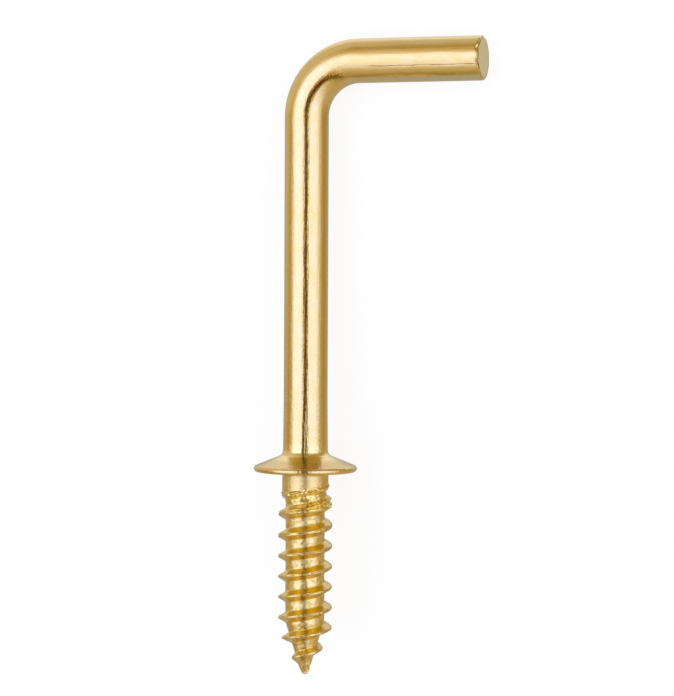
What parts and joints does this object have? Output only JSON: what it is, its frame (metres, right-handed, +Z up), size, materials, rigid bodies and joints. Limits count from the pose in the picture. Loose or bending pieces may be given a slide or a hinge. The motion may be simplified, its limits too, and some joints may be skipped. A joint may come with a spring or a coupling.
{
  "type": "l-shaped screw hook",
  "caption": "L-shaped screw hook of round wire: a square-bent arm to hang things on, a flanged collar that seats on the wood, and a pointed wood-screw thread.",
  "frame": {"origin": "centre of the underside of the box around the hook as it lies on the ground", "axes": "+Z up, +X along the arm towards its free end, +Y away from the screw's point, towards the arm. The hook lies on its arm and on the collar's rim, so the screw axis climbs 4.18 degrees from the arm to the point."},
  "size_m": [0.0186, 0.0504, 0.0082],
  "materials": {
    "brass_plate": "bright brass plating on steel wire, lightly brushed along the shank, dull on the sheared end"
  },
  "bodies": {
    "root": {"screw_hook": "brass_plate"}
  },
  "joints": []
}
